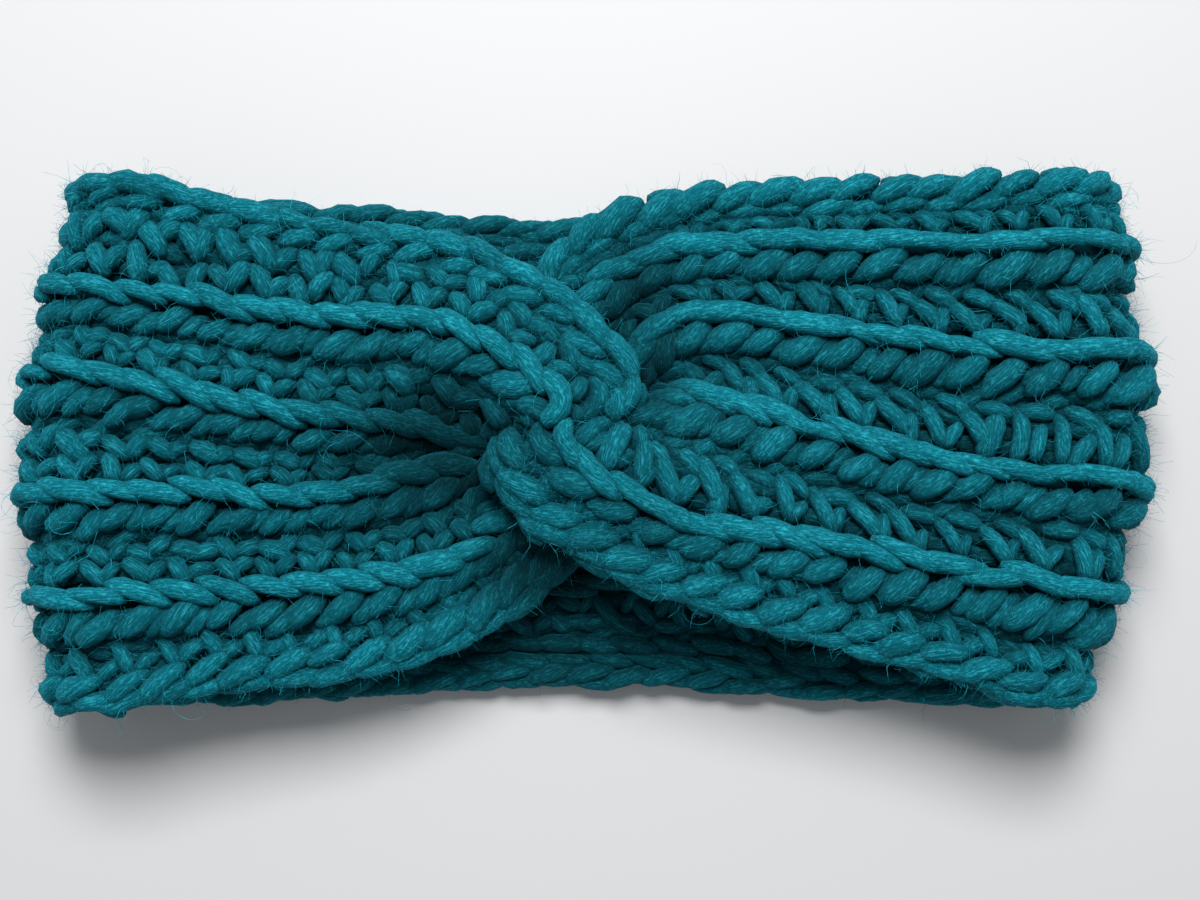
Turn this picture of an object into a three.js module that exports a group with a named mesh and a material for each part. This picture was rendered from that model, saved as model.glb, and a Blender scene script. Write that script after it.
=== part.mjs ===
// A chunky crocheted ear warmer. It lies flat as a loop of two layers, with a crossed twist at the middle of
// its front. One ribbed strip runs from the twist round the left fold, along the back, round the right fold
// and to the twist again. Its two ends hook into each other there: each end has one half on top of the other
// end and one half under it.
// Millimetres, +Z up. X runs along the band, +Y is the band's upper edge, and the back panel lies on z = 0.
import * as THREE from "three";

// Driving sizes
const loopLength = 240; // from fold to fold, outside
const bandWidth = 109; // between the outsides of the two edge chains, at the folds
const backWidth = 101; // the same, where the back panel draws in at its middle
const wall = 6; // thickness of the crocheted fabric
const ribRelief = 2.4; // how far the fabric waves to each side of its middle
const hollowHeight = 14; // clear height inside the folds
const chainDiameter = 7.6; // crocheted chain that edges the fabric on both sides
const grooveWidth = 1.2; // between a chain and the ribs
const twistSqueeze = 0.12; // share of its thickness that the fabric loses in the twist
const layerGap = 2; // between the upper and the lower layer of the twist
const valleyLift = 2.9; // the centre folds stay this far above what they could touch
const panelSag = 1.8; // dip of the front panels between fold and twist
const seamWidth = 8;
const seamThickness = 3.5;
const seamClearance = 1; // under the seam, over the back panel
const seamGap = 0.3; // between the seam and the layers that it joins
const seamInset = 0.14; // share of each end's half width that the seam leaves free at its tips

// Detail of the loft
const frontSteps = 28;
const foldSteps = 9;
const backSteps = 12;
const chainTurns = [130, 78, 26, -26, -78, -130]; // degrees round a chain, from the outer side to the inner
const normalStep = 1e-3;

// What follows from the driving sizes
const reach = wall / 2 + ribRelief;
const twistReach = reach * (1 - twistSqueeze);
const chainRadius = chainDiameter / 2;
const halfWidth = bandWidth / 2;
const halfLength = loopLength / 2;
const backLevel = reach;
const backTop = backLevel + reach;
const panelLevel = backTop + hollowHeight + reach;
const seamTop = backTop + seamClearance + seamThickness;
const lowerLevel = seamTop + seamGap + twistReach;
const upperLevel = lowerLevel + 2 * twistReach + layerGap;
const valleyLevel = backTop + twistReach + valleyLift;
const foldRadius = (panelLevel - backLevel) / 2;
const foldLevel = (panelLevel + backLevel) / 2;

// Sections of each front panel, from its fold to the end of the strip in the twist. X is a share of half the
// loop's length and Y a share of half the band's width. Each section runs from the upper edge over the middle
// to the lower edge. settle is how far the section has left the panel's height for the twist's own levels.
const columns = ["topX", "topY", "midX", "midY", "lowX", "lowY", "settle"];
const leftSections = [
  [-0.78, 0.93, -0.855, 0.01, -0.79, -0.945, 0],
  [-0.64, 0.845, -0.65, -0.035, -0.64, -0.885, 0.14],
  [-0.39, 0.745, -0.42, -0.05, -0.42, -0.83, 0.45],
  [-0.26, 0.705, -0.3, -0.005, -0.29, -0.765, 0.76],
  [-0.14, 0.605, -0.245, 0.01, -0.185, -0.665, 0.95],
  [-0.04, 0.465, -0.215, 0.015, -0.105, -0.545, 1],
  [0.025, 0.32, -0.195, 0.017, -0.05, -0.455, 1],
  [0.062, 0.235, -0.18, 0.017, -0.015, -0.385, 1],
  [0.069, 0.15, -0.172, 0.017, 0.005, -0.345, 1],
  [0.047, 0.084, -0.167, 0.017, 0.015, -0.32, 1],
];
const rightSections = [
  [0.81, 0.945, 0.855, 0.025, 0.735, -0.92, 0],
  [0.62, 0.93, 0.62, 0.06, 0.6, -0.825, 0.14],
  [0.395, 0.925, 0.375, 0.16, 0.383, -0.685, 0.45],
  [0.245, 0.92, 0.258, 0.22, 0.235, -0.6, 0.76],
  [0.14, 0.885, 0.19, 0.21, 0.125, -0.515, 0.95],
  [0.065, 0.835, 0.155, 0.18, 0.035, -0.425, 1],
  [0.01, 0.78, 0.138, 0.145, -0.058, -0.3, 1],
  [-0.025, 0.73, 0.128, 0.12, -0.108, -0.18, 1],
  [-0.055, 0.68, 0.12, 0.1, -0.128, -0.08, 1],
  [-0.075, 0.63, 0.115, 0.088, -0.123, 0.005, 1],
];

// Each rib's ridge line across the strip at either front panel, from 1 at the upper chain to -1 at the lower.
const ribColumns = ["left", "right"];
const ribLines = [
  [0.69, 0.83],
  [0.21, 0.365],
  [-0.36, -0.24],
  [-0.78, -0.7],
];
// A rib's outline: distances from its ridge line on the same scale, and heights in shares of the relief.
const ribOutline = [
  { part: "slope of posts", across: 0.15, height: 0.1 },
  { part: "ridge", across: 0.05, height: 1 },
  { part: "braid", across: -0.08, height: 1 },
  { part: "foot", across: -0.15, height: -0.8 },
  { part: "valley", across: -0.2, height: -1 },
];

const mix = THREE.MathUtils.lerp;

function named(names, row) {
  return Object.fromEntries(names.map((name, i) => [name, row[i]]));
}

// The rails of a front panel: its upper edge, middle line and lower edge, and the settle value along them.
function makeRails(table, topLevel, lowLevel) {
  const rows = table.map((row) => named(columns, row));
  const rail = (edge, level, sag) =>
    new THREE.CatmullRomCurve3(
      rows.map((row) => {
        const dip = sag * 4 * row.settle * (1 - row.settle);
        const z = mix(panelLevel, level, row.settle) - dip;
        return new THREE.Vector3(row[edge + "X"] * halfLength, row[edge + "Y"] * halfWidth, z);
      }),
    );
  const settle = (t) => {
    const at = Math.min(t, 1) * (rows.length - 1);
    const i = Math.min(Math.floor(at), rows.length - 2);
    return mix(rows[i].settle, rows[i + 1].settle, at - i);
  };
  return {
    top: rail("top", topLevel, panelSag),
    mid: rail("mid", valleyLevel, 0),
    low: rail("low", lowLevel, panelSag),
    settle,
  };
}

const leftRails = makeRails(leftSections, upperLevel, lowerLevel);
const rightRails = makeRails(rightSections, lowerLevel, upperLevel);

// A point of a front panel's middle surface. Each half climbs out of the centre fold in a quarter of an
// ellipse, and crowns a little before its edge.
function panelPoint(rails, t, v) {
  const crestAt = 0.6;
  const crown = 0.15;
  const q = Math.abs(v);
  const pinch = 0.5 * THREE.MathUtils.smoothstep(t, 0.35, 0.8);
  const mid = rails.mid.getPoint(t);
  const edge = (v > 0 ? rails.top : rails.low).getPoint(t);
  const across = mix(q, 1 - Math.cos((Math.PI / 2) * q), pinch);
  const climb = Math.sin((Math.PI / 2) * Math.min(1, q / crestAt));
  const depth = edge.z - mid.z;
  const z = mid.z + depth * (climb + crown * Math.sin(Math.PI * Math.min(q, 1)));
  const point = mid.lerp(edge, across);
  point.z = z;
  return point;
}

// The back panel draws in between the folds.
function backPoint(along, v) {
  const start = panelPoint(leftRails, 0, v).x;
  const end = panelPoint(rightRails, 0, v).x;
  const bow = Math.sin(Math.PI * along) ** 2;
  const half = mix(bandWidth, backWidth, bow) / 2 - chainRadius;
  return new THREE.Vector3(mix(start, end, along), v * half, backLevel);
}

// A fold turns each line of stitches from the front panel down to the back panel in a half circle.
function foldPoint(rails, side, turn, v) {
  const from = panelPoint(rails, 0, v);
  const to = backPoint(side < 0 ? 0 : 1, v);
  const angle = Math.PI * turn;
  return new THREE.Vector3(
    from.x + side * foldRadius * Math.sin(angle),
    mix(from.y, to.y, turn),
    foldLevel + foldRadius * Math.cos(angle),
  );
}

// The whole strip in five stretches. Each gives the middle surface at s from 0 to 1, how settled it is in the
// twist, and where it stands between the left panel (0) and the right panel (1).
const leftPanel = {
  steps: frontSteps,
  point: (s, v) => panelPoint(leftRails, 1 - s, v),
  settle: (s) => leftRails.settle(1 - s),
  place: () => 0,
};
const leftFold = {
  steps: foldSteps,
  point: (s, v) => foldPoint(leftRails, -1, s, v),
  settle: () => 0,
  place: () => 0,
};
const backPanel = { steps: backSteps, point: backPoint, settle: () => 0, place: (s) => s };
const rightFold = {
  steps: foldSteps,
  point: (s, v) => foldPoint(rightRails, 1, 1 - s, v),
  settle: () => 0,
  place: () => 1,
};
const rightPanel = {
  steps: frontSteps,
  point: (s, v) => panelPoint(rightRails, s, v),
  settle: rightRails.settle,
  place: () => 1,
};
const stretches = [leftPanel, leftFold, backPanel, rightFold, rightPanel];

function stations() {
  const list = [];
  stretches.forEach((stretch, k) => {
    const first = k === 0 ? 0 : 1;
    for (let i = first; i <= stretch.steps; i++) list.push({ stretch, s: i / stretch.steps });
  });
  return list;
}

// The direction that points out of the loop, upright in the twist so that a steep slope keeps clear of the
// one beside it.
function outward({ stretch, s }, v) {
  const s0 = Math.max(0, s - normalStep);
  const s1 = Math.min(1, s + normalStep);
  const v0 = v - (v > 0 ? normalStep : 0);
  const v1 = v + (v > 0 ? 0 : normalStep);
  const along = stretch.point(s1, v).sub(stretch.point(s0, v));
  const across = stretch.point(s, v1).sub(stretch.point(s, v0));
  const normal = across.cross(along).normalize();
  const upright = 0.75 * stretch.settle(s);
  return normal.lerp(new THREE.Vector3(0, 0, 1), upright).normalize();
}

// The section's places across the fabric, with the height at each, from the upper groove to the lower.
// A groove lies beside each chain, at a fixed distance in from the strip's edge.
function ribProfile({ stretch, s }) {
  const groove = (side) => {
    const tenth = stretch.point(s, side).distanceTo(stretch.point(s, side * 0.9));
    return side * (1 - (0.1 * (chainRadius + grooveWidth)) / tenth);
  };
  const [low, top] = [groove(-1), groove(1)];
  const place = stretch.place(s);
  const ribs = ribLines.flatMap((row) => {
    const rib = named(ribColumns, row);
    const line = mix(rib.left, rib.right, place);
    return ribOutline.map(({ across, height }) => ({ v: mix(low, top, (line + across + 1) / 2), height }));
  });
  return [{ v: top, height: -1 }, ...ribs, { v: low, height: -1 }];
}

// The round chain in the section at one edge: side is 1 for the upper edge and -1 for the lower.
function chainSection(station, side, thin) {
  const { stretch, s } = station;
  const centre = stretch.point(s, side);
  const out = outward(station, side);
  const across = centre.clone().sub(stretch.point(s, side * 0.9));
  across.addScaledVector(out, -across.dot(out)).normalize();
  return chainTurns.map((degrees) => {
    const angle = THREE.MathUtils.degToRad(degrees);
    return centre
      .clone()
      .addScaledVector(across, chainRadius * Math.cos(angle))
      .addScaledVector(out, thin * chainRadius * Math.sin(angle));
  });
}

// One ring of the strip's skin: the outer side from the upper edge to the lower, and the inner side back.
function ring(station) {
  const thin = 1 - twistSqueeze * station.stretch.settle(station.s);
  const half = chainTurns.length / 2;
  const upper = chainSection(station, 1, thin);
  const lower = chainSection(station, -1, thin);
  const outer = [];
  const inner = [];
  for (const { v, height } of ribProfile(station)) {
    const middle = station.stretch.point(station.s, v);
    const out = outward(station, v);
    const wave = ribRelief * height;
    outer.push(middle.clone().addScaledVector(out, thin * (wave + wall / 2)));
    inner.push(middle.clone().addScaledVector(out, thin * (wave - wall / 2)));
  }
  return {
    outer: [...upper.slice(0, half).toReversed(), ...outer, ...lower.slice(0, half)],
    inner: [...upper.slice(half), ...inner, ...lower.slice(half).toReversed()],
  };
}

// A closed solid through rings with the same number of points, capped at both ends.
function loft(rings) {
  const count = rings[0].outer.length;
  const size = 2 * count;
  const points = rings.flatMap(({ outer, inner }) => [...outer, ...inner.toReversed()]);
  const faces = [];
  const quad = (a, b, c, d) => faces.push(a, c, b, a, d, c);
  for (let r = 0; r + 1 < rings.length; r++)
    for (let i = 0; i < size; i++) {
      const j = (i + 1) % size;
      quad(r * size + i, r * size + j, (r + 1) * size + j, (r + 1) * size + i);
    }
  const last = (rings.length - 1) * size;
  for (let i = 0; i + 1 < count; i++) {
    quad(i + 1, i, size - 1 - i, size - 2 - i);
    quad(last + i, last + i + 1, last + size - 2 - i, last + size - 1 - i);
  }
  const geometry = new THREE.BufferGeometry().setFromPoints(points);
  geometry.setIndex(faces);
  geometry.computeVertexNormals();
  return geometry;
}

// The flat whipped seam under the twist, from the left end's lower half to the right end's upper half.
function twistSeam() {
  const start = panelPoint(leftRails, 1, -1 + seamInset);
  const end = panelPoint(rightRails, 1, 1 - seamInset);
  const length = Math.hypot(end.x - start.x, end.y - start.y);
  const round = seamWidth / 2;
  const outline = new THREE.Shape();
  outline.absarc(0, 0, round, -Math.PI / 2, Math.PI / 2, false);
  outline.absarc(-length, 0, round, Math.PI / 2, (3 * Math.PI) / 2, false);
  const seam = new THREE.Mesh(
    new THREE.ExtrudeGeometry(outline, { depth: seamThickness, bevelEnabled: false, curveSegments: 6 }),
  );
  seam.position.set(start.x, start.y, seamTop - seamThickness);
  seam.rotation.z = Math.atan2(start.y - end.y, start.x - end.x);
  return seam;
}

const wool = () => new THREE.MeshStandardMaterial({ color: 0x0e6c7c, roughness: 0.95, metalness: 0 });

function piece(name, mesh) {
  mesh.name = name;
  mesh.material = wool();
  return mesh;
}

const earWarmer = new THREE.Group();
earWarmer.add(
  piece("ribbed_band", new THREE.Mesh(loft(stations().map(ring)))),
  piece("twist_seam", twistSeam()),
);

// The origin is on the surface that the band lies on, under the middle of its outline.
const outlineBox = new THREE.Box3().setFromObject(earWarmer, true);
const middle = outlineBox.getCenter(new THREE.Vector3());
earWarmer.position.set(-middle.x, -middle.y, -outlineBox.min.z);

export default earWarmer;
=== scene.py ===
import math

import bmesh
import bpy
import numpy as np
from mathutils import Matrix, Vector


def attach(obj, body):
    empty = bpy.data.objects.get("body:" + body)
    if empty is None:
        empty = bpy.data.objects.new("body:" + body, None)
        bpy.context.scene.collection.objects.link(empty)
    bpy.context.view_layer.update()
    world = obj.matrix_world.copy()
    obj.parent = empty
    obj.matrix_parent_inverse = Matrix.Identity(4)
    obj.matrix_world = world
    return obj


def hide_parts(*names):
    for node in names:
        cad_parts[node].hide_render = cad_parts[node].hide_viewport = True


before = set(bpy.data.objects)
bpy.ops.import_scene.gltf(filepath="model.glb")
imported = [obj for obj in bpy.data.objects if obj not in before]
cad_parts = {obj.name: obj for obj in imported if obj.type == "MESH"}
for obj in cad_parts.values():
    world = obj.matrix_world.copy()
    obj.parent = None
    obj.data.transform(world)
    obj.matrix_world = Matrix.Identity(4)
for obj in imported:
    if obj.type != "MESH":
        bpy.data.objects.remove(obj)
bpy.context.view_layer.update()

chance = np.random.default_rng(31)
mm = 0.001
upward = np.array([0, 0, 1.0])


def added(name, data):
    thing = bpy.data.objects.new(name, data)
    bpy.context.scene.collection.objects.link(thing)
    return thing


# The camera, the table and the light

cameraView = {
    "target": (0.0032, -0.0025, 0.028),
    "elevation": 84.0,  # almost straight down, from the lower edge's side
    "distance": 0.38,
    "lens": 56.04,
    "sensor": 36,
    "clipStart": 0.01,
}


def addCamera():
    camera = added("photoCamera", bpy.data.cameras.new("photoCamera"))
    rise = math.radians(cameraView["elevation"])
    back = Vector((0, -math.cos(rise), math.sin(rise)))
    camera.location = Vector(cameraView["target"]) + back * cameraView["distance"]
    camera.rotation_euler = (math.pi / 2 - rise, 0, 0)
    camera.data.lens = cameraView["lens"]
    camera.data.sensor_width = cameraView["sensor"]
    camera.data.clip_start = cameraView["clipStart"]
    bpy.context.scene.camera = camera


tableTop = {"size": 3.0, "colour": (0.80, 0.80, 0.805), "roughness": 0.6}


def addTable():
    mesh = bpy.data.meshes.new("tableTop")
    shape = bmesh.new()
    bmesh.ops.create_grid(shape, x_segments=1, y_segments=1, size=tableTop["size"] / 2)
    shape.to_mesh(mesh)
    shape.free()
    table = added("tableTop", mesh)
    paint = bpy.data.materials.new("paleTable")
    paint.use_nodes = True
    surface = paint.node_tree.nodes["Principled BSDF"]
    surface.inputs["Base Color"].default_value = (*tableTop["colour"], 1)
    surface.inputs["Roughness"].default_value = tableTop["roughness"]
    mesh.materials.append(paint)


daylight = {
    "window": {"place": (-0.01, 0.355, 0.705), "size": 0.37, "watts": 5.9},
    "room": {"strength": 0.24, "colour": (0.96, 0.98, 1)},
}


def addLight():
    window = bpy.data.lights.new("window", "AREA")
    window.energy = daylight["window"]["watts"]
    window.size = daylight["window"]["size"]
    lamp = added("window", window)
    lamp.location = daylight["window"]["place"]
    lamp.rotation_euler = (-Vector(lamp.location)).to_track_quat("-Z", "Y").to_euler()
    world = bpy.data.worlds.new("room")
    world.use_nodes = True
    sky = world.node_tree.nodes["Background"]
    sky.inputs["Color"].default_value = (*daylight["room"]["colour"], 1)
    sky.inputs["Strength"].default_value = daylight["room"]["strength"]
    bpy.context.scene.world = world
    bpy.context.scene.view_settings.view_transform = "Standard"


addCamera()
addTable()
addLight()
print("camera, table and light are in place")

# The strip's own shape, which repeats the solid's

strip = {
    "loopLength": 0.24,
    "bandWidth": 0.109,
    "backWidth": 0.101,
    "wall": 0.006,
    "ribRelief": 0.0024,
    "hollowHeight": 0.014,
    "chainDiameter": 0.0076,
    "grooveWidth": 0.0012,
    "twistSqueeze": 0.12,
    "layerGap": 0.002,
    "valleyLift": 0.0029,
    "panelSag": 0.0018,
    "seamThickness": 0.0035,
    "seamClearance": 0.001,
    "seamGap": 0.0003,
    "shiftY": -0.00019,  # puts the middle of its outline over the origin
    "twistUpright": 0.75,  # how far its outward side turns upward in the twist
    "sheetEdge": 1.12,  # how far across it is worked out, where 1 is the edge chain's middle
    "grooveAt": 0.95,  # where its width is read for the groove beside an edge chain
    "frontSteps": 150,
    "foldSteps": 40,
    "backSteps": 110,
    "acrossSteps": 161,
}
# Sections of each front panel from its fold to the twist. X is a share of half the loop's length
# and Y a share of half the band's width, at the upper edge, the middle and the lower edge. settle is
# how far the panel has come to its level in the twist.
sectionColumns = ("topX", "topY", "midX", "midY", "lowX", "lowY", "settle")
leftSections = (
    (-0.78, 0.93, -0.855, 0.01, -0.79, -0.945, 0),
    (-0.64, 0.845, -0.65, -0.035, -0.64, -0.885, 0.14),
    (-0.39, 0.745, -0.42, -0.05, -0.42, -0.83, 0.45),
    (-0.26, 0.705, -0.3, -0.005, -0.29, -0.765, 0.76),
    (-0.14, 0.605, -0.245, 0.01, -0.185, -0.665, 0.95),
    (-0.04, 0.465, -0.215, 0.015, -0.105, -0.545, 1),
    (0.025, 0.32, -0.195, 0.017, -0.05, -0.455, 1),
    (0.062, 0.235, -0.18, 0.017, -0.015, -0.385, 1),
    (0.069, 0.15, -0.172, 0.017, 0.005, -0.345, 1),
    (0.047, 0.084, -0.167, 0.017, 0.015, -0.32, 1),
)
rightSections = (
    (0.81, 0.945, 0.855, 0.025, 0.735, -0.92, 0),
    (0.62, 0.93, 0.62, 0.06, 0.6, -0.825, 0.14),
    (0.395, 0.925, 0.375, 0.16, 0.383, -0.685, 0.45),
    (0.245, 0.92, 0.258, 0.22, 0.235, -0.6, 0.76),
    (0.14, 0.885, 0.19, 0.21, 0.125, -0.515, 0.95),
    (0.065, 0.835, 0.155, 0.18, 0.035, -0.425, 1),
    (0.01, 0.78, 0.138, 0.145, -0.058, -0.3, 1),
    (-0.025, 0.73, 0.128, 0.12, -0.108, -0.18, 1),
    (-0.055, 0.68, 0.12, 0.1, -0.128, -0.08, 1),
    (-0.075, 0.63, 0.115, 0.088, -0.123, 0.005, 1),
)
# Where each rib's ridge line runs, from 1 at the groove beside the upper edge chain to -1 at the one
# beside the lower, at either fold and where either panel goes into the twist.
ribColumns = ("left", "leftTwist", "right", "rightTwist")
ribLines = (
    (0.66, 0.715, 0.86, 0.9),
    (0.275, 0.05, 0.355, 0.48),
    (-0.255, -0.17, -0.21, -0.095),
    (-0.7, -0.745, -0.67, -0.8),
)

reach = strip["wall"] / 2 + strip["ribRelief"]
twistReach = reach * (1 - strip["twistSqueeze"])
chainRadius = strip["chainDiameter"] / 2
halfWidth = strip["bandWidth"] / 2
halfLength = strip["loopLength"] / 2
backTop = 2 * reach
panelLevel = backTop + strip["hollowHeight"] + reach
seamTop = backTop + strip["seamClearance"] + strip["seamThickness"]
lowerLevel = seamTop + strip["seamGap"] + twistReach
upperLevel = lowerLevel + 2 * twistReach + strip["layerGap"]
valleyLevel = backTop + twistReach + strip["valleyLift"]
foldRadius = (panelLevel - reach) / 2
foldLevel = (panelLevel + reach) / 2
shyOfEnd = 1.001  # keeps a look-up inside its table


def mixed(a, b, share):
    return a + (b - a) * share


def unit(vectors):
    return vectors / np.maximum(np.linalg.norm(vectors, axis=-1, keepdims=True), 1e-12)


def splineThrough(points, at):
    points = np.asarray(points, float)
    first, last = 2 * points[0] - points[1], 2 * points[-1] - points[-2]
    padded = np.vstack([first, points, last])
    place = np.clip(at, 0, 1) * (len(points) - 1)
    i = np.minimum(place.astype(int), len(points) - 2)
    w = (place - i)[:, None]
    p0, p1, p2, p3 = padded[i], padded[i + 1], padded[i + 2], padded[i + 3]
    d0, d1, d2 = (
        np.sqrt(np.linalg.norm(b - a, axis=1))[:, None] for a, b in ((p0, p1), (p1, p2), (p2, p3))
    )
    t1 = ((p1 - p0) / d0 - (p2 - p0) / (d0 + d1) + (p2 - p1) / d1) * d1
    t2 = ((p2 - p1) / d1 - (p3 - p1) / (d1 + d2) + (p3 - p2) / d2) * d1
    return p1 + w * (t1 + w * (-3 * p1 + 3 * p2 - 2 * t1 - t2 + w * (2 * p1 - 2 * p2 + t1 + t2)))


# Toward the twist a panel gathers at its middle line: where that begins on the way from the fold, over
# how much of the way it grows, and how strong it gets. From that line each half rises to a round lobe:
# its shoulder is a share of the way to the edge, and its crown stands over the edge's height.
gather = {"from": 0.35, "over": 0.45, "most": 0.5}
lobe = {"shoulder": 0.6, "crown": 0.15}


def panelSheet(sections, topLevel, lowLevel, at, across):
    rows = [dict(zip(sectionColumns, row)) for row in sections]

    def rail(edge, level, sag):
        points = []
        for row in rows:
            dip = sag * 4 * row["settle"] * (1 - row["settle"])
            z = mixed(panelLevel, level, row["settle"]) - dip
            points.append((row[edge + "X"] * halfLength, row[edge + "Y"] * halfWidth, z))
        return splineThrough(points, at)[:, None]

    top = rail("top", topLevel, strip["panelSag"])
    low = rail("low", lowLevel, strip["panelSag"])
    mid = rail("mid", valleyLevel, 0)
    settle = np.interp(at * (len(rows) - 1), range(len(rows)), [row["settle"] for row in rows])
    q = np.abs(across)[None, :]
    step = np.clip((at - gather["from"]) / gather["over"], 0, 1)
    gathered = gather["most"] * (step * step * (3 - 2 * step))[:, None]
    share = mixed(q, 1 - np.cos(np.pi / 2 * q), gathered)[..., None]
    climb = np.sin(np.pi / 2 * np.minimum(1, q / lobe["shoulder"]))
    climb = climb + lobe["crown"] * np.sin(np.pi * np.minimum(q, 1))
    edge = np.where((across > 0)[None, :, None], top, low)
    points = mid + (edge - mid) * share
    points[..., 2] = mid[..., 2] + (edge[..., 2] - mid[..., 2]) * climb
    return points, settle


def stripSurface():
    across = np.linspace(-strip["sheetEdge"], strip["sheetEdge"], strip["acrossSteps"])
    front = np.linspace(0, 1, strip["frontSteps"])
    left, leftSettle = panelSheet(leftSections, upperLevel, lowerLevel, front, across)
    right, rightSettle = panelSheet(rightSections, lowerLevel, upperLevel, front, across)
    along = np.linspace(0, 1, strip["backSteps"])[:, None]
    half = mixed(strip["bandWidth"], strip["backWidth"], np.sin(np.pi * along) ** 2) / 2 - chainRadius
    back = np.empty((len(along), len(across), 3))
    back[..., 0] = mixed(left[0, :, 0][None], right[0, :, 0][None], along)
    back[..., 1] = across[None] * half
    back[..., 2] = reach
    turn = np.linspace(0, 1, strip["foldSteps"])[:, None]

    def fold(start, end, side):
        sheet = np.empty((len(turn), len(across), 3))
        sheet[..., 0] = start[None, :, 0] + side * foldRadius * np.sin(np.pi * turn)
        sheet[..., 1] = mixed(start[None, :, 1], end[None, :, 1], turn)
        sheet[..., 2] = foldLevel + foldRadius * np.cos(np.pi * turn)
        return sheet

    noSettle = np.zeros(strip["foldSteps"])
    stretches = (
        (left[::-1], leftSettle[::-1], 0, 0),
        (fold(left[0], back[0], -1), noSettle, 0, 0),
        (back, np.zeros(strip["backSteps"]), 0, 1),
        (fold(right[0], back[-1], 1)[::-1], noSettle, 1, 1),
        (right, rightSettle, 1, 1),
    )
    points, settle, place = [], [], []
    for k, (sheet, depth, start, end) in enumerate(stretches):
        first = 0 if k == 0 else 1
        points.append(sheet[first:])
        settle.append(depth[first:])
        place.append(np.linspace(start, end, len(sheet))[first:])
    points = np.concatenate(points)
    settle = np.concatenate(settle)
    points[..., 1] += strip["shiftY"]
    out = unit(np.cross(np.gradient(points, axis=1), np.gradient(points, axis=0)))
    out = unit(out + (upward - out) * (strip["twistUpright"] * settle)[:, None, None])
    widthway = np.linalg.norm(np.gradient(points, axis=1), axis=2) / (across[1] - across[0])
    return {
        "across": across,
        "points": points,
        "out": out,
        "settle": settle,
        "thin": 1 - strip["twistSqueeze"] * settle,
        "place": np.concatenate(place),
        "widthway": widthway,
    }


surface = stripSurface()
stationCount = len(surface["points"])
stations = np.arange(stationCount, dtype=float)


def lookUp(table, station, v):
    # The table's value between its grid points, for arrays of station and of v.
    across = surface["across"]
    station = np.clip(station, 0, stationCount - shyOfEnd)
    v = np.clip((v - across[0]) / (across[1] - across[0]), 0, len(across) - shyOfEnd)
    i, j = station.astype(int), v.astype(int)
    fi, fj = station - i, v - j
    if table.ndim == 3:
        fi, fj = fi[..., None], fj[..., None]
    near = table[i, j] * (1 - fj) + table[i, j + 1] * fj
    far = table[i + 1, j] * (1 - fj) + table[i + 1, j + 1] * fj
    return near * (1 - fi) + far * fi


def atStation(station, values):
    # What a row of values, one for each station, gives at places between them.
    return np.interp(station, stations, values)


def onStrip(station, v, height):
    # The point at a height over the fabric's middle, and the outward side there.
    point = lookUp(surface["points"], station, v)
    out = unit(lookUp(surface["out"], station, v))
    return point + out * (height * atStation(station, surface["thin"]))[..., None], out


def lineAcross(rib):
    # Where a rib's ridge line runs, for every station.
    edgeGroove = []
    for side in (-1.0, 1.0):
        width = lookUp(surface["widthway"], stations, np.full(stationCount, strip["grooveAt"] * side))
        edgeGroove.append(side * (1 - (chainRadius + strip["grooveWidth"]) / width))
    row = dict(zip(ribColumns, ribLines[rib]))
    left = mixed(row["left"], row["leftTwist"], surface["settle"])
    right = mixed(row["right"], row["rightTwist"], surface["settle"])
    line = mixed(left, right, surface["place"])
    return mixed(edgeGroove[0], edgeGroove[1], (line + 1) / 2)


ridgeLines = [lineAcross(rib) for rib in range(len(ribLines))]
print("the strip's shape is laid out:", stationCount, "stations")

# Strands of yarn, many in one mesh

# Painted shade for buried yarn: the fuller of yarn the space just off a point is, the darker that point is
# painted.
crowd = {
    "cell": 0.0012,
    "margin": 0.012,
    "near": (3, 0.0022, 1.05),  # rounds of smoothing, how far off the yarn it is read, and its weight
    "far": (18, 0.0055, 1.55),
    "lean": 0.45,  # how much the fabric's outward side counts beside the strand's own
}
# Painted shade in creases where one panel dives under the other: place, half size, how dark the painted
# shade is, and the height that ends each. The last two are the twist itself, and the back panel that lies
# in its shade.
creaseColumns = ("x", "y", "wide", "high", "dark", "top")
shadedCreases = (
    (-0.029, -0.0015, 0.021, 0.0135, 0.92, 0.037),
    (-0.011, -0.0265, 0.011, 0.008, 0.85, 0.031),
    (0.011, 0.028, 0.008, 0.015, 0.6, 0.031),
    (0.0136, 0.0095, 0.006, 0.006, 0.7, 0.033),
    (0.0, -0.002, 0.022, 0.024, 0.11, 0.060),
    (0.006, -0.043, 0.032, 0.012, 0.25, 0.020),
)
creaseFade = 0.006  # a crease's painted shade comes in over this depth, below the height that ends it
paintedCreaseTone = 8.0  # steps of tone that a crease's full painted shade takes off the yarn as well


def paintedCreaseShade(points):
    # The painted shade of the creases: 1 away from every crease, and less the deeper a point lies in one.
    shade = np.ones(len(points))
    for values in shadedCreases:
        crease = dict(zip(creaseColumns, values))
        x = (points[:, 0] - crease["x"]) / crease["wide"]
        y = (points[:, 1] - crease["y"]) / crease["high"]
        low = np.clip((crease["top"] - points[:, 2]) / creaseFade, 0, 1)
        shade *= 1 - crease["dark"] * np.exp(-(x * x + y * y)) * low
    return shade


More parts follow.
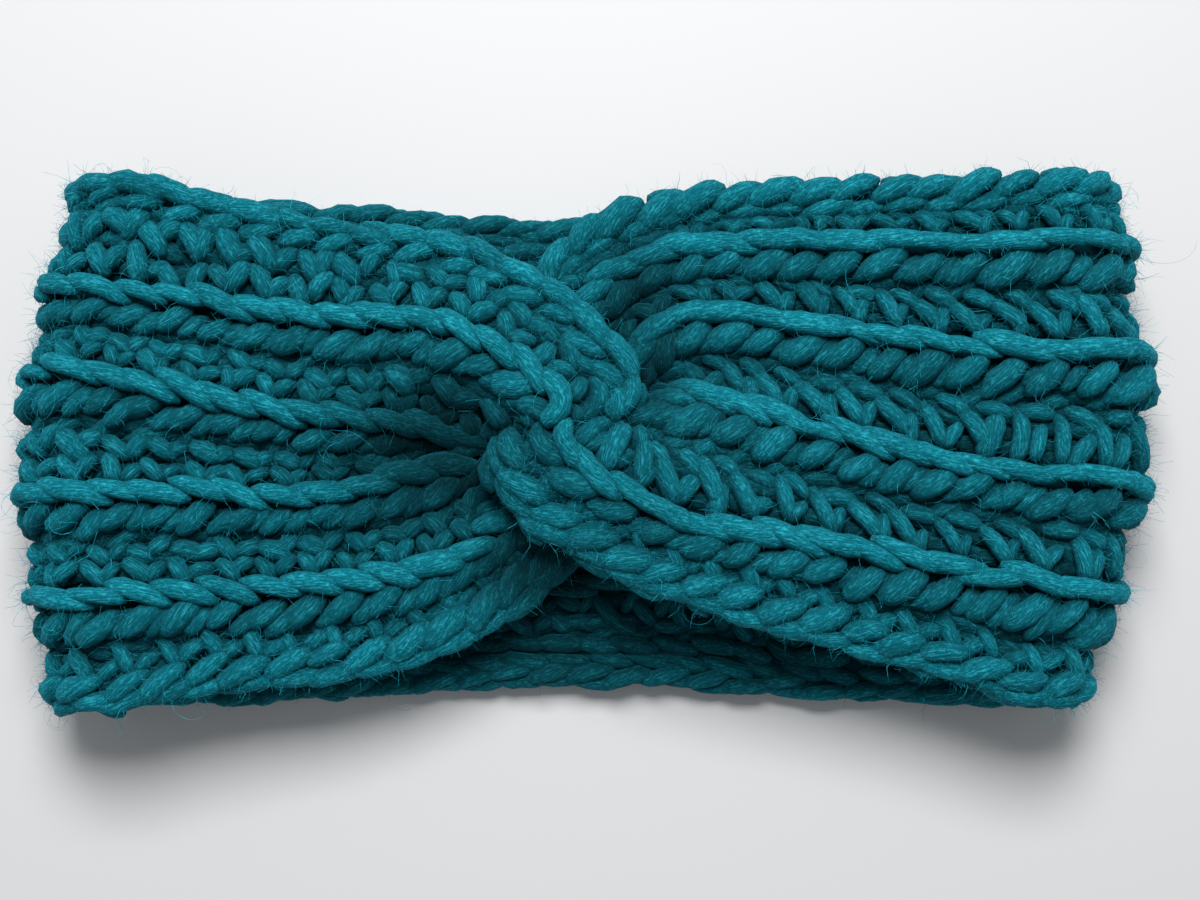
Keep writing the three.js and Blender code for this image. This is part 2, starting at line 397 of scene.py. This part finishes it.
def crowdGrids(parts):
    # How full of yarn the space is: one grid smoothed a little for what is close, and one smoothed more
    # for what is further off.
    points, volumes = [], []
    for centres, _, radii in parts:
        spacing = np.linalg.norm(np.diff(centres, axis=1), axis=-1).mean(axis=1, keepdims=True)
        points.append(centres.reshape(-1, 3))
        volumes.append((np.pi * radii**2 * spacing).ravel())
    points, volumes = np.concatenate(points), np.concatenate(volumes)
    low = points.min(axis=0) - crowd["margin"]
    shape = ((points.max(axis=0) + crowd["margin"] - low) / crowd["cell"]).astype(int) + 2
    grid = np.zeros(shape)
    place = ((points - low) / crowd["cell"]).round().astype(int)
    np.add.at(grid, tuple(place.T), volumes / crowd["cell"] ** 3)
    grids = []
    for rounds, rise, weight in (crowd["near"], crowd["far"]):
        for _ in range(rounds):
            for axis in range(3):
                grid = (np.roll(grid, 1, axis) + grid + np.roll(grid, -1, axis)) / 3
        grid = np.minimum(grid, 1)
        grids.append((grid, rise, weight))
    return low, grids


def paintedOcclusionShade(points, outs):
    # How bright the painted shade leaves the yarn: 1 where a point of the yarn lies open to the air and 0
    # where it is buried, times the painted shade of the creases, for arrays of points.
    low, grids = yarnGrids
    hidden = np.zeros(len(points))
    for grid, rise, weight in grids:
        place = (points + outs * rise - low) / crowd["cell"]
        place = np.clip(place, 0, np.array(grid.shape) - shyOfEnd)
        whole = place.astype(int)
        part = place - whole
        for corner in np.ndindex(2, 2, 2):
            share = np.prod(np.where(corner, part, 1 - part), axis=1)
            hidden += weight * share * grid[tuple((whole + corner).T)]
    return np.clip(1 - hidden, 0, 1) * paintedCreaseShade(points)


def arcLengths(points):
    # How far along its line each point lies, for one line or for rows of them.
    steps = np.linalg.norm(np.diff(points, axis=-2), axis=-1)
    return np.concatenate([np.zeros_like(steps[..., :1]), np.cumsum(steps, axis=-1)], axis=-1)


pressLevel = 0.0012  # yarn lower than this is pressed flat on the table


def pressed(z):
    return np.where(z < pressLevel, pressLevel * np.exp((z - pressLevel) / pressLevel), z)


twist = {"fibres": 95, "lobes": 170, "lobeCount": 3}  # radians for each metre of a strand, and its lobes
# Each strand starts elsewhere in the fibre pattern: up to this far along it, and shares of that across.
patternShift = {"along": 3, "out": 1.7, "side": 0.6}


def strandMesh(name, centres, outs, radii, sides=8, lobes=0.05, toneAndShade=0.0, lumps=0.0, paintedFlankShade=0.0):
    # centres and outs are strand x ring x 3 and radii strand x ring: one closed strand for each row. They
    # are written into the mesh in one go, because there are tens of thousands of them.
    count, rings = radii.shape
    tangent = unit(np.gradient(centres, axis=1))
    out = unit(outs - tangent * (outs * tangent).sum(-1, keepdims=True))
    side = np.cross(tangent, out)
    length = arcLengths(centres)[..., None]
    angle = np.arange(sides) / sides * 2 * np.pi
    spin = chance.uniform(0, 2 * np.pi, count)[:, None, None]
    bumps = 1 + lobes * np.cos(twist["lobeCount"] * angle[None, None] + spin + twist["lobes"] * length)
    radius = radii[..., None] * bumps * (1 + chance.normal(0, lumps, bumps.shape))
    ringOut = (radius * np.cos(angle))[..., None] * out[:, :, None]
    ringSide = (radius * np.sin(angle))[..., None] * side[:, :, None]
    points = (centres[:, :, None] + ringOut + ringSide).reshape(-1, 3)
    points[:, 2] = pressed(points[:, 2])
    ring = np.arange(sides)
    nextRing = (ring + 1) % sides
    wall = []
    for r in range(rings - 1):
        a, b = r * sides, (r + 1) * sides
        wall.append(np.stack([a + ring, b + ring, b + nextRing, a + nextRing], axis=1))
    wall = np.concatenate(wall)
    base = (np.arange(count) * rings * sides)[:, None, None]
    walls = (wall[None] + base).reshape(-1)
    caps = np.concatenate([ring[None], ((rings - 1) * sides + ring[::-1])[None]])
    caps = (caps[None] + base).reshape(-1)
    wallCount, capCount = count * len(wall), count * 2
    mesh = bpy.data.meshes.new(name)
    mesh.vertices.add(len(points))
    mesh.vertices.foreach_set("co", points.ravel())
    mesh.loops.add(len(walls) + len(caps))
    mesh.loops.foreach_set("vertex_index", np.concatenate([walls, caps]).astype(np.int32))
    mesh.polygons.add(wallCount + capCount)
    starts = np.concatenate([np.arange(wallCount) * 4, len(walls) + np.arange(capCount) * sides])
    mesh.polygons.foreach_set("loop_start", starts.astype(np.int32))
    mesh.update(calc_edges=True)
    mesh.polygons.foreach_set("use_smooth", np.ones(wallCount + capCount, bool))
    turned = angle[None, None] + twist["fibres"] * length
    offset = chance.uniform(0, patternShift["along"], (count, 1, 1))
    yarn = np.stack(
        [
            np.broadcast_to(length + offset, radius.shape),
            np.cos(turned) * radius + offset * patternShift["out"],
            np.sin(turned) * radius + offset * patternShift["side"],
        ],
        axis=-1,
    ).reshape(-1, 3)
    mesh.attributes.new("yarn", "FLOAT_VECTOR", "POINT").data.foreach_set("vector", yarn.ravel())
    # Each strand's tone is random round its kind's average, which is painted light for some kinds and
    # painted shade for others.
    shade = np.broadcast_to(chance.normal(toneAndShade, 1, (count, 1, 1)), radius.shape).ravel()
    # Painted shade: the creases take tone off the yarn as well.
    shade = shade - paintedCreaseTone * (1 - paintedCreaseShade(points))
    mesh.attributes.new("toneAndShade", "FLOAT", "POINT").data.foreach_set("value", shade)
    facing = unit(unit(ringOut + ringSide) + crowd["lean"] * outs[:, :, None])
    # Painted shade: a strand's flanks and underside are painted darker than its crest.
    dim = 1 - paintedFlankShade * (1 - np.maximum(np.cos(angle), 0))
    # light is the brightness that the painted shade of burial, creases and flanks leaves the yarn.
    light = paintedOcclusionShade(points, facing.reshape(-1, 3)) * np.broadcast_to(dim, radius.shape).ravel()
    mesh.attributes.new("paintedShade", "FLOAT", "POINT").data.foreach_set("value", light)
    print(name, "has", count, "strands")
    return added(name, mesh)


# Rows of stitches along the ribs and the edges

stitches = {
    "pitch": 0.0082,
    "span": 0.0212,  # from one ridge to the next, where the tables below hold
    "above": 0.0102,  # from a ridge up to an edge chain's side, and
    "below": 0.0112,  # from a ridge down to it
    "chainSide": 0.0042,
    "stretch": 0.010,  # strands nearer to the ridge than this take less of the row's stretch
    "twistGrowth": 0.2,  # the strands are that much thicker in the twist, where they are packed
    "least": 0.35,  # limits of that stretch
    "most": 1.5,
    "stray": {"place": 0.00045, "lift": 0.5, "angle": 5.0, "postAngle": 13.0, "radius": 0.08},
}
strandForm = {"arch": 0.8, "tip": 0.14, "bluntness": 3}  # how it rises, and how it thins to its ends
# One stitch's strands, in millimetres and degrees: the middle's place along the rib (to the right as seen
# from outside, with the upper edge up) and across it (toward the upper edge), the length and its slope, the
# height over the fabric's middle at the strand's middle and at its ends, how much higher its right end is,
# its sideways bow and its radius.
leafColumns = ("name", "side", "a", "c", "length", "angle", "mid", "end", "tilt", "bend", "radius")
ribLeaves = (
    ("ridge", "left", 0, 0.3, 13.5, -14, 4.3, 2.6, 0, 0.4, 2.0),
    ("ridge", "right", 0, 0.0, 15, -7, 4.3, 3.2, 0, 0.2, 2.0),
    ("braid", "left", -1.0, -4.5, 9.6, 34, 2.6, 0.4, 0, -0.4, 2.25),
    ("braid", "right", -1.0, -4.8, 10.2, 36, 3.0, 0.5, 0, -0.4, 2.45),
    ("braid", "both", 3.2, -5.2, 7.5, 40, 2.0, 0.0, 0, -0.3, 1.8),
    ("post", "left", -1.0, 4.6, 6.4, -56, 2.1, 0.0, 1.6, 0.4, 1.9),
    ("post", "left", 2.9, 4.6, 5.4, 48, 1.8, -0.2, -0.6, 0.4, 1.8),
    ("post", "left", 0.6, 8.8, 6.0, -38, 1.3, -0.6, 0.6, 0.4, 1.95),
    ("post", "left", 4.4, 9.2, 5.4, 34, 0.9, -0.8, 0, 0.3, 1.8),
    ("post", "right", -1.2, 6.4, 9.8, -62, 2.1, 0.2, 2.4, 0.5, 1.8),
    ("post", "right", 2.6, 4.6, 6.6, 68, 1.9, 0.2, -1.2, 0.4, 1.7),
    ("post", "right", 2.4, 9.6, 7.2, -20, 0.8, -0.4, 0, 0.4, 1.75),
    ("post", "both", -1.6, 12.3, 8.0, 22, -0.6, -1.2, 0, 0.3, 1.75),
    ("fill", "both", 0, 4.2, 11, 6, -0.9, -1.4, 0, 0, 1.9),
    ("fill", "both", 3, 8.0, 11, -8, -1.1, -1.6, 0, 0, 1.9),
    ("pad", "both", 0, -10.3, 11, 8, -1.9, -2.4, 0, 0, 1.9),
    ("pad", "both", 4, -7.8, 11, -6, -1.0, -1.6, 0, 0, 1.9),
)
upperEdgeLeaves = (
    ("edge", "left", 0, 1.5, 12.5, -6, 1.6, 0.5, 0, 0.4, 2.15),
    ("edge", "left", 2.0, -1.5, 9.5, 24, 1.3, -0.1, 0, 0, 1.95),
    ("edge", "right", 0, 0.9, 11.6, 22, 1.9, 0.1, 0, 0.5, 2.35),
    ("edge", "right", 2.5, -2.1, 10.0, 6, 0.9, 0.0, 0, 0, 1.8),
    ("edge", "both", 3.0, 1.7, 11, -12, -1.5, -0.5, 0, 0.2, 2.0),
    ("edge", "both", 0, -1.6, 11, 10, -1.5, -0.5, 0, 0, 1.8),
    ("edge", "both", 2.0, -4.6, 10, -8, -1.0, -1.5, 0, 0, 1.9),
)
lowerEdgeLeaves = (
    ("edge", "both", 0, 0.7, 11.4, 25, 1.9, 0.1, 0, 0.3, 2.35),
    ("edge", "both", 1.5, -1.9, 12.0, 5, 0.6, 0.0, 0, -0.3, 1.85),
    ("edge", "both", 3.0, -1.3, 11, -12, -1.5, -0.5, 0, 0, 1.9),
    ("edge", "both", 0, 1.7, 11, 10, -1.5, -0.5, 0, 0, 1.8),
    ("edge", "both", 1.0, 5.6, 7.4, -62, 1.0, -0.2, 1.2, 0.3, 1.7),
    ("edge", "both", -2.6, 4.6, 6.0, 30, 0.4, -0.6, 0, 0.3, 1.7),
)
# On the inside the same leaves lie flatter, so that they keep to their own half of the fabric.
innerSide = {"base": 1.7, "relief": 0.55}


def roomBeside(rib, station):
    # How far the rib's tables stretch upward and downward with the room that it has there.
    line = ridgeLines[rib]
    here = atStation(station, line)
    width = lookUp(surface["widthway"], station, here)
    upper = ridgeLines[rib - 1] if rib else np.ones(stationCount)
    lower = ridgeLines[rib + 1] if rib + 1 < len(ribLines) else -np.ones(stationCount)
    up = (atStation(station, upper) - here) * width
    down = (here - atStation(station, lower)) * width
    above = up / stitches["span"] if rib else (up - stitches["chainSide"]) / stitches["above"]
    below = down / stitches["span"]
    if rib + 1 == len(ribLines):
        below = (down - stitches["chainSide"]) / stitches["below"]
    limits = stitches["least"], stitches["most"]
    return np.clip(above, *limits), np.clip(below, *limits)


def rowStrands(table, names, line, rib=None, face=1, rings=9):
    # The strands of these names in one row of stitches along a line. face is 1 outside and -1 inside.
    rows = [dict(zip(leafColumns, row)) for row in table if row[0] in names]
    stray = stitches["stray"]
    lengths = arcLengths(lookUp(surface["points"], stations, line))
    count = int(lengths[-1] / stitches["pitch"])
    starts = (np.arange(count) + 0.5) * lengths[-1] / count
    place = atStation(np.interp(starts, lengths, stations), surface["place"])
    onSide = {"left": place < 0.5, "right": place >= 0.5, "both": place >= 0}
    s = np.linspace(-0.5, 0.5, rings)[None]
    centres, outs, radii = [], [], []
    for row in rows:
        keep = onSide[row["side"]]
        number = int(keep.sum())
        turn = stray["postAngle"] if row["name"] == "post" else stray["angle"]
        slope = np.radians(row["angle"] + chance.normal(0, turn, number))[:, None]
        size = (1 + chance.normal(0, stray["radius"], number))[:, None]
        bow = row["bend"] * mm * np.cos(np.pi * s)
        run = row["length"] * mm * s * size
        nudge = chance.normal(0, stray["place"], (3, number, 1))
        a = row["a"] * mm + run * np.cos(slope) - bow * np.sin(slope) + nudge[0]
        c = row["c"] * mm + run * np.sin(slope) + bow * np.cos(slope) + nudge[1]
        arch = np.cos(np.pi * s) ** strandForm["arch"]
        h = row["end"] + (row["mid"] - row["end"]) * arch + row["tilt"] * s
        if face < 0:
            h = innerSide["base"] + innerSide["relief"] * h
        station = np.interp(starts[keep][:, None] - a, lengths, stations)
        thick = 1
        if rib is not None:
            above, below = roomBeside(rib, station)
            spread = np.where(c > 0, above, below) ** np.minimum(1, np.abs(c) / stitches["stretch"])
            c = c * spread
            thick = spread**0.5
        v = atStation(station, line)
        v = v + c * face / lookUp(surface["widthway"], station, v)
        point, out = onStrip(station, v, (h * mm + nudge[2] * stray["lift"]) * face)
        taper = np.maximum(strandForm["tip"], 1 - np.abs(2 * s) ** strandForm["bluntness"]) ** 0.5
        growth = 1 + stitches["twistGrowth"] * atStation(station, surface["settle"]) ** 2
        centres.append(point)
        outs.append(out * face)
        radii.append(row["radius"] * mm * size * taper * growth * thick)
    return np.concatenate(centres), np.concatenate(outs), np.concatenate(radii)


def joined(parts):
    return tuple(np.concatenate(group) for group in zip(*parts))


def ribStrands(names, face=1, rings=9):
    return joined(
        [rowStrands(ribLeaves, names, line, rib, face, rings) for rib, line in enumerate(ridgeLines)]
    )


outerRows = {
    "ridgeStrands": ribStrands(("ridge",)),
    "braidStrands": ribStrands(("braid",)),
    "postStrands": ribStrands(("post",)),
    "edgeChains": joined(
        [
            rowStrands(upperEdgeLeaves, ("edge",), np.ones(stationCount)),
            rowStrands(lowerEdgeLeaves, ("edge",), -np.ones(stationCount)),
        ]
    ),
}
hiddenRows = {
    "fillStrands": ribStrands(("fill", "pad"), rings=7),
    "innerStrands": ribStrands(("ridge", "braid", "post", "fill"), face=-1, rings=7),
}
# The tone is each kind's average, in steps of brightness, with a random tone for each strand round it:
# painted light that makes ridges and edge chains lighter and painted shade that makes braids, posts, fills
# and the inside darker. lumps is the random share of the radius, and flank how much darker a strand's
# flanks are painted than its crest, as painted shade.
finish = {
    "ridgeStrands": {"sides": 10, "toneAndShade": 2.6, "lumps": 0.05, "paintedFlankShade": 0.42},
    "braidStrands": {"sides": 10, "toneAndShade": -1.7, "lumps": 0.05, "paintedFlankShade": 0.45},
    "postStrands": {"sides": 8, "toneAndShade": -0.2, "lumps": 0.05, "paintedFlankShade": 0.42},
    "edgeChains": {"sides": 10, "toneAndShade": 0.6, "lumps": 0.05, "paintedFlankShade": 0.42},
    "fillStrands": {"sides": 6, "toneAndShade": -3.0},
    "innerStrands": {"sides": 6, "toneAndShade": -1.0},
}
yarnGrids = crowdGrids([*outerRows.values(), *hiddenRows.values()])
pieces = {}
for name, rows in {**outerRows, **hiddenRows}.items():
    pieces[name] = strandMesh(name, *rows, **finish[name])

# The fabric under the strands, painted dark as the shade in the gaps between them

fabric = {
    "thickness": 0.0016,
    "low": -0.0015,  # under the fabric's middle
    "edge": 1.01,  # where 1 is the edge chain's middle
    "lines": 48,
    "stations": 190,
    # dark: painted shade in the gaps between the strands
    "colour": (0.002, 0.040, 0.054),
    "roughness": 1,
    "specular": 0.05,
}


def addFabric():
    mesh = bpy.data.meshes.new("bandShadeFabric")
    shape = bmesh.new()
    bmesh.ops.create_grid(
        shape, x_segments=fabric["stations"] - 1, y_segments=fabric["lines"] - 1, size=0.5
    )
    share = np.array([vert.co[:2] for vert in shape.verts]) + 0.5
    station = share[:, 0] * stations[-1]
    v = mixed(-fabric["edge"], fabric["edge"], share[:, 1])
    points, _ = onStrip(station, v, np.full(len(v), fabric["low"]))
    for vert, point in zip(shape.verts, points):
        vert.co = point
    bmesh.ops.solidify(shape, geom=shape.faces[:], thickness=fabric["thickness"])
    bmesh.ops.recalc_face_normals(shape, faces=shape.faces[:])
    for face in shape.faces:
        face.smooth = True
    shape.to_mesh(mesh)
    shape.free()
    return added("bandShadeFabric", mesh)


pieces["bandShadeFabric"] = addFabric()
print("fabric is made")

# Loose fibres

# rim is how many times denser they grow at the folds and along the edge chains.
fuzzColumns = ("count", "rings", "length", "radius", "curl", "rim")
fuzz = {
    "looseFibres": (9000, 3, (0.002, 0.007), 0.000046, 0.9, 1),
    "hazeFibres": (20500, 2, (0.0012, 0.0034), 0.000045, 1.3, 10),
    "strayFibres": (420, 12, (0.007, 0.02), 0.00004, 2.2, 2),
}
fibreGrowth = {
    "rimStart": 0.1,  # from the middle: about where the folds begin
    "underside": 0.08,  # how dense they are on the side that lies on the table
    "facesDown": -0.5,  # the outward side's slope from which yarn counts as that side
    "spread": 1.25,  # radians round the strand, either way from its outward side
    "rootDepth": 0.8,  # of the strand's radius
    "rise": (0.15, 1.1),  # how much they stand off the strand, next to how far they run along it
    "bend": 3,
    "wander": 0.12,
    "lowest": 0.0003,  # over the table
    "tip": 0.5,  # a tip's thickness, next to its root's
    "thickness": (0.6, 1.3),  # next to its kind's radius
}


def fuzzStrands(kind):
    count, rings = kind["count"], kind["rings"]
    centres, outs, radii = joined(outerRows.values())
    middle = centres.shape[1] // 2
    atRim = np.abs(centres[:, middle, 0]) > fibreGrowth["rimStart"]
    atRim[-len(outerRows["edgeChains"][2]) :] = True
    weight = np.where(outs[:, middle, 2] < fibreGrowth["facesDown"], fibreGrowth["underside"], 1.0)
    weight = weight * np.where(atRim, kind["rim"], 1)
    pick = chance.choice(len(centres), count, p=weight / weight.sum())
    ring = chance.integers(1, centres.shape[1] - 1, count)
    root, out, radius = centres[pick, ring], outs[pick, ring], radii[pick, ring]
    heading = unit(centres[pick, ring + 1] - centres[pick, ring - 1])
    side = np.cross(heading, out)
    turn = chance.uniform(-fibreGrowth["spread"], fibreGrowth["spread"], count)
    up = out * np.cos(turn)[:, None] + side * np.sin(turn)[:, None]
    root = root + up * (radius * fibreGrowth["rootDepth"])[:, None]
    length = chance.uniform(*kind["length"], count)
    along = heading * chance.choice([-1, 1], count)[:, None]
    aim = unit(along + up * chance.uniform(*fibreGrowth["rise"], count)[:, None])
    path = [root]
    step = length / (rings - 1)
    swirl = unit(chance.normal(0, 1, (count, 3)))
    for _ in range(rings - 1):
        bend = np.cross(aim, swirl) * kind["curl"] * fibreGrowth["bend"] / rings
        aim = unit(aim + bend + chance.normal(0, fibreGrowth["wander"], aim.shape))
        path.append(path[-1] + aim * step[:, None])
    centres = np.stack(path, axis=1)
    centres[..., 2] = np.maximum(centres[..., 2], fibreGrowth["lowest"])
    taper = np.linspace(1, fibreGrowth["tip"], rings)[None]
    radii = kind["radius"] * chance.uniform(*fibreGrowth["thickness"], (count, 1)) * taper
    outs = np.broadcast_to(up[:, None], centres.shape)
    return centres, outs, radii


for name, values in fuzz.items():
    kind = dict(zip(fuzzColumns, values))
    pieces[name] = strandMesh(name, *fuzzStrands(kind), sides=3, lobes=0)
print("loose fibres are made")

# The seam under the twist

seam = {"inset": 0.14, "width": 0.008, "pitch": 0.0042, "radius": 0.0011, "rings": 9}


def seamStrands():
    def tip(at, v):
        return onStrip(np.array([float(at)]), np.array([v]), np.zeros(1))[0][0]

    start, end = tip(0, -1 + seam["inset"]), tip(stationCount - 1, 1 - seam["inset"])
    level = seamTop - strip["seamThickness"] / 2
    start[2] = end[2] = level
    length = np.linalg.norm(end - start)
    heading = (end - start) / length
    side = np.cross(upward, heading)
    count = int(length / seam["pitch"])
    s = np.linspace(0, 1, seam["rings"])
    turn = 2 * np.pi * s
    wide = seam["width"] / 2 - seam["radius"]
    high = strip["seamThickness"] / 2 - seam["radius"]
    out = side * np.cos(turn)[:, None] + upward * np.sin(turn)[:, None]
    centres = []
    for k in range(count):
        base = start + heading * (k + 0.5) * length / count
        path = base + side * (wide * np.cos(turn))[:, None] + heading * ((s - 0.5) * seam["pitch"])[:, None]
        centres.append(path + upward * (high * np.sin(turn))[:, None])
    return np.stack(centres), np.stack([out] * count), np.full((count, seam["rings"]), seam["radius"])


pieces["seamStitches"] = strandMesh("seamStitches", *seamStrands(), sides=8)
print("seam is sewn")

# Materials

wool = {
    "dark": (0.001, 0.112, 0.148),
    "colour": (0.003, 0.160, 0.212),
    "light": (0.028, 0.430, 0.535),
    "stops": {"dark": 0.37, "colour": 0.5, "light": 0.63},
    "fibreSize": (280.0, 3600.0),  # along the strand and round it
    "fibreDetail": 4,
    "tangleSize": (950.0, 2300.0),
    "tangleDetail": 3,
    "tangleShare": 0.45,
    "unevenness": 0.65,
    # how much each step of tone, painted shade and painted light included, changes the yarn's brightness
    "toneAndShadeStep": 0.10,
    "paintedShadeDeepest": 0.34,  # painted shade: how bright buried yarn is painted, next to yarn that lies open
    "bumpHeight": 0.0008,
    "roughness": 0.82,
    "specular": 0.06,
    "sheenRoughness": 0.45,
    "sheenTint": (0.06, 0.75, 1),
}


def woolGroup():
    group = bpy.data.node_groups.new("woolFibres", "ShaderNodeTree")
    link = group.links.new
    group.interface.new_socket("Depth", in_out="INPUT", socket_type="NodeSocketFloat")
    group.interface.new_socket("PaintedBrightness", in_out="INPUT", socket_type="NodeSocketFloat")
    group.interface.new_socket("Colour", in_out="OUTPUT", socket_type="NodeSocketColor")
    group.interface.new_socket("Normal", in_out="OUTPUT", socket_type="NodeSocketVector")
    node = group.nodes.new

    def attribute(name):
        made = node("ShaderNodeAttribute")
        made.attribute_name = name
        return made

    def noise(size, detail):
        stretch = node("ShaderNodeVectorMath")
        stretch.operation = "MULTIPLY"
        stretch.inputs[1].default_value = (size[0], size[1], size[1])
        link(yarn.outputs["Vector"], stretch.inputs[0])
        made = node("ShaderNodeTexNoise")
        made.inputs["Scale"].default_value = 1
        made.inputs["Detail"].default_value = detail
        made.inputs["Roughness"].default_value = wool["unevenness"]
        link(stretch.outputs["Vector"], made.inputs["Vector"])
        return made

    inside, outside = node("NodeGroupInput"), node("NodeGroupOutput")
    yarn, toneAndShade, paintedShadeAttribute = attribute("yarn"), attribute("toneAndShade"), attribute("paintedShade")
    fibres = noise(wool["fibreSize"], wool["fibreDetail"])
    tangle = noise(wool["tangleSize"], wool["tangleDetail"])
    blend = node("ShaderNodeMix")
    blend.inputs["Factor"].default_value = wool["tangleShare"]
    link(fibres.outputs["Fac"], blend.inputs["A"])
    link(tangle.outputs["Fac"], blend.inputs["B"])
    ramp = node("ShaderNodeValToRGB")
    ramp.color_ramp.elements.new(wool["stops"]["colour"])
    for stop, (name, place) in zip(ramp.color_ramp.elements, wool["stops"].items()):
        stop.position = place
        stop.color = (*wool[name], 1)
    link(blend.outputs["Result"], ramp.inputs["Fac"])
    # Tone, with its painted shade and painted light, in steps of brightness.
    shade = node("ShaderNodeMath")
    shade.operation = "MULTIPLY_ADD"
    shade.inputs[1].default_value = wool["toneAndShadeStep"]
    shade.inputs[2].default_value = 1.0
    link(toneAndShade.outputs["Fac"], shade.inputs[0])
    # Painted shade: buried yarn is painted darker, down to the deepest share of its colour.
    depth = node("ShaderNodeMapRange")
    depth.interpolation_type = "SMOOTHSTEP"
    depth.inputs["To Min"].default_value = wool["paintedShadeDeepest"]
    link(paintedShadeAttribute.outputs["Fac"], depth.inputs["Value"])
    whole = node("ShaderNodeMath")
    whole.operation = "MULTIPLY"
    link(shade.outputs["Value"], whole.inputs[0])
    link(depth.outputs["Result"], whole.inputs[1])
    bright = node("ShaderNodeMath")
    bright.operation = "MULTIPLY"
    link(whole.outputs["Value"], bright.inputs[0])
    link(inside.outputs["PaintedBrightness"], bright.inputs[1])
    tint = node("ShaderNodeVectorMath")
    tint.operation = "SCALE"
    link(ramp.outputs["Color"], tint.inputs[0])
    link(bright.outputs["Value"], tint.inputs["Scale"])
    link(tint.outputs["Vector"], outside.inputs["Colour"])
    bump = node("ShaderNodeBump")
    bump.inputs["Distance"].default_value = wool["bumpHeight"]
    link(inside.outputs["Depth"], bump.inputs["Strength"])
    link(blend.outputs["Result"], bump.inputs["Height"])
    link(bump.outputs["Normal"], outside.inputs["Normal"])
    return group


fibreGroup = woolGroup()


def woolMaterial(name, depth, paintedBrightness, sheen):
    material = bpy.data.materials.new(name)
    material.use_nodes = True
    nodes, link = material.node_tree.nodes, material.node_tree.links.new
    shader = nodes["Principled BSDF"]
    group = nodes.new("ShaderNodeGroup")
    group.node_tree = fibreGroup
    group.inputs["Depth"].default_value = depth
    group.inputs["PaintedBrightness"].default_value = paintedBrightness
    link(group.outputs["Colour"], shader.inputs["Base Color"])
    link(group.outputs["Normal"], shader.inputs["Normal"])
    shader.inputs["Roughness"].default_value = wool["roughness"]
    shader.inputs["Specular IOR Level"].default_value = wool["specular"]
    shader.inputs["Sheen Weight"].default_value = sheen
    shader.inputs["Sheen Roughness"].default_value = wool["sheenRoughness"]
    shader.inputs["Sheen Tint"].default_value = (*wool["sheenTint"], 1)
    return material


# The fabric's material, whose dark colour is painted shade.
def fabricMaterial():
    material = bpy.data.materials.new("shadeFabricWool")
    material.use_nodes = True
    shader = material.node_tree.nodes["Principled BSDF"]
    shader.inputs["Base Color"].default_value = (*fabric["colour"], 1)
    shader.inputs["Roughness"].default_value = fabric["roughness"]
    shader.inputs["Specular IOR Level"].default_value = fabric["specular"]
    return material


yarnMaterial = woolMaterial("tealWool", depth=0.8, paintedBrightness=1.0, sheen=0.25)
# The loose fibres are painted 2.6 times as bright as the yarn: painted light for the light that they catch.
fibreMaterial = woolMaterial("looseWool", depth=0.0, paintedBrightness=2.6, sheen=0.1)
materials = {name: fibreMaterial for name in fuzz}
materials["bandShadeFabric"] = fabricMaterial()
for name, piece in pieces.items():
    piece.data.materials.append(materials.get(name, yarnMaterial))
print("materials are on")

# What each piece stands for

for name, piece in pieces.items():
    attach(piece, "root")
    if name == "seamStitches":
        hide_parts("twist_seam")
    else:
        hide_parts("ribbed_band")
middleLength = arcLengths(lookUp(surface["points"], stations, np.zeros(stationCount)))[-1]
print("the strip's middle line is", round(middleLength, 4), "m long")
for name, piece in pieces.items():
    print(name, sum(len(face.vertices) - 2 for face in piece.data.polygons), "triangles")
